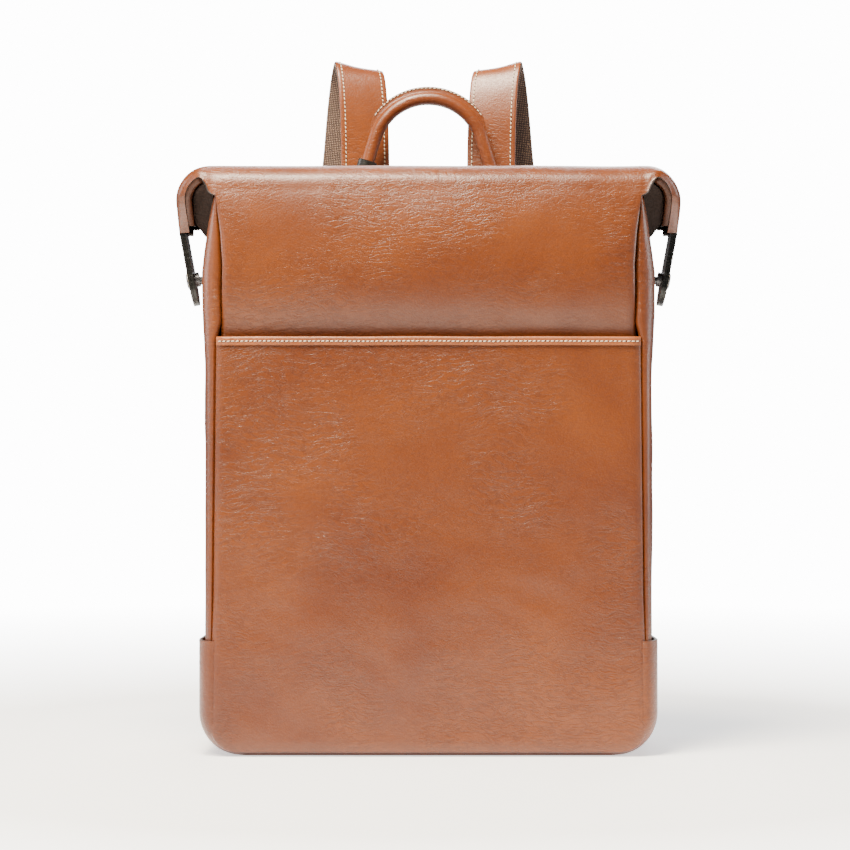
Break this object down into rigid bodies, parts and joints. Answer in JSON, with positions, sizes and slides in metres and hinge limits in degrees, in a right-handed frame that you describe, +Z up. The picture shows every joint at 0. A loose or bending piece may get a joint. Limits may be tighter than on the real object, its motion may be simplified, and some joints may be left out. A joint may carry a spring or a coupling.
{
  "type": "backpack",
  "caption": "Leather laptop backpack with a zip top whose ends fold down as snap-tabbed ears, a front slip pocket, a rolled carry handle and webbing-lined shoulder straps.",
  "frame": {"origin": "centre of the base's resting face", "axes": "+Z up, the front pocket faces -Y, the shoulder straps are on +Y, +X to the right as seen from the front"},
  "size_m": [0.3568, 0.1937, 0.5017],
  "materials": {
    "tan_leather": "semi-gloss, creased grain",
    "dark_leather": "glossy, painted edges",
    "black_nickel": "dark nickel plate",
    "webbing": "woven, matt",
    "lining_cloth": "fine cotton weave",
    "zip_tape": "woven, matt",
    "foam": "sealed inside the back",
    "board": "matt"
  },
  "bodies": {
    "bag": {"base_panel": "tan_leather", "bottom_gusset": "tan_leather", "base_board": "board", "front_panel": "tan_leather", "back_panel": "tan_leather", "back_foam": "foam", "gusset_left": "tan_leather", "gusset_right": "tan_leather", "lining": "lining_cloth", "laptop_divider": "lining_cloth", "inner_pocket": "lining_cloth", "top_corner_left": "tan_leather", "top_corner_right": "tan_leather", "zip_end_left": "black_nickel", "zip_end_right": "black_nickel", "snap_studs": "black_nickel", "handle_patches": "tan_leather", "handle_feet": "tan_leather", "tag_strap": "dark_leather", "strap_patches": "tan_leather", "strap_bases": "webbing", "ring_loops": "webbing", "strap_rings": "black_nickel", "anchor_tabs": "tan_leather"},
    "pocket": {"front_pocket": "tan_leather", "pocket_binding": "tan_leather"},
    "mouth_front": {"flap_front": "tan_leather", "zip_tape_front": "zip_tape", "zip_chain_front": "black_nickel"},
    "mouth_back": {"flap_back": "tan_leather", "zip_tape_back": "zip_tape", "zip_chain_back": "black_nickel"},
    "slider": {"zip_slider": "black_nickel"},
    "pull": {"zip_puller": "black_nickel"},
    "handle": {"handle_grip": "tan_leather", "handle_flange": "tan_leather"},
    "tag": {"tag": "tan_leather"},
    "ear_left": {"ear_left": "tan_leather", "ear_zip_left": "black_nickel"},
    "tab_left": {"tab_left": "dark_leather", "snap_cap_left": "black_nickel", "snap_socket_left": "black_nickel"},
    "strap_left": {"strap_leather_left": "tan_leather", "strap_webbing_left": "webbing", "lower_strap_left": "webbing", "return_strap_left": "webbing"},
    "adjuster_left": {"adjuster_left": "black_nickel", "strap_end_left": "webbing"},
    "ear_right": {"ear_right": "tan_leather", "ear_zip_right": "black_nickel"},
    "tab_right": {"tab_right": "dark_leather", "snap_cap_right": "black_nickel", "snap_socket_right": "black_nickel"},
    "strap_right": {"strap_leather_right": "tan_leather", "strap_webbing_right": "webbing", "lower_strap_right": "webbing", "return_strap_right": "webbing"},
    "adjuster_right": {"adjuster_right": "black_nickel", "strap_end_right": "webbing"}
  },
  "joints": [
    {"name": "pocket_open", "type": "hinge", "parent": "bag", "child": "pocket", "pos_m": [0, -0.06075, 0.018], "axis": [1, 0, 0], "range_deg": [0, 4], "stiffness_Nm_per_rad": 2},
    {"name": "mouth_open", "type": "hinge", "parent": "bag", "child": "mouth_front", "pos_m": [0, -0.05271, 0.40271], "axis": [1, 0, 0], "range_deg": [0, 80]},
    {"name": "mouth_back_open", "type": "hinge", "parent": "bag", "child": "mouth_back", "pos_m": [0, 0.05271, 0.40271], "axis": [-1, 0, 0], "range_deg": [0, 80]},
    {"name": "zip_slide", "type": "slide", "parent": "bag", "child": "slider", "axis": [1, 0, 0], "range_m": [0, 0.24]},
    {"name": "pull_flip", "type": "hinge", "parent": "slider", "child": "pull", "pos_m": [-0.125, 0, 0.4074], "axis": [0, 1, 0], "range_deg": [0, 170]},
    {"name": "handle_fold", "type": "hinge", "parent": "bag", "child": "handle", "pos_m": [0, 0.066, 0.432], "axis": [-1, 0, 0], "range_deg": [-75, 0]},
    {"name": "tag_swing", "type": "hinge", "parent": "bag", "child": "tag", "pos_m": [-0.083, 0.063, 0.401], "axis": [0, 1, 0], "range_deg": [0, 30]},
    {"name": "ear_left_lift", "type": "hinge", "parent": "bag", "child": "ear_left", "pos_m": [-0.16685, 0, 0.39985], "axis": [0, 1, 0], "range_deg": [0, 90]},
    {"name": "tab_left_swing", "type": "hinge", "parent": "ear_left", "child": "tab_left", "pos_m": [-0.174, 0, 0.364], "axis": [0, 1, 0], "range_deg": [0, 60]},
    {"name": "strap_left_swing", "type": "hinge", "parent": "bag", "child": "strap_left", "pos_m": [-0.047, 0.0709, 0.3398], "axis": [-0.2236, 0.0114, -0.9746], "range_deg": [0, 20]},
    {"name": "adjuster_left_slide", "type": "slide", "parent": "strap_left", "child": "adjuster_left", "axis": [0, -0.2226, -0.9749], "range_m": [0, 0.06], "deforming": ["return_strap_left"]},
    {"name": "ear_right_lift", "type": "hinge", "parent": "bag", "child": "ear_right", "pos_m": [0.16685, 0, 0.39985], "axis": [0, -1, 0], "range_deg": [0, 90]},
    {"name": "tab_right_swing", "type": "hinge", "parent": "ear_right", "child": "tab_right", "pos_m": [0.174, 0, 0.364], "axis": [0, -1, 0], "range_deg": [0, 60]},
    {"name": "strap_right_swing", "type": "hinge", "parent": "bag", "child": "strap_right", "pos_m": [0.047, 0.0709, 0.3398], "axis": [-0.2236, -0.0114, 0.9746], "range_deg": [0, 20]},
    {"name": "adjuster_right_slide", "type": "slide", "parent": "strap_right", "child": "adjuster_right", "axis": [0, -0.2226, -0.9749], "range_m": [0, 0.06], "deforming": ["return_strap_right"]}
  ],
  "couplings": [
    {"joint": "mouth_back_open", "follows": "mouth_open", "ratio": 1}
  ]
}
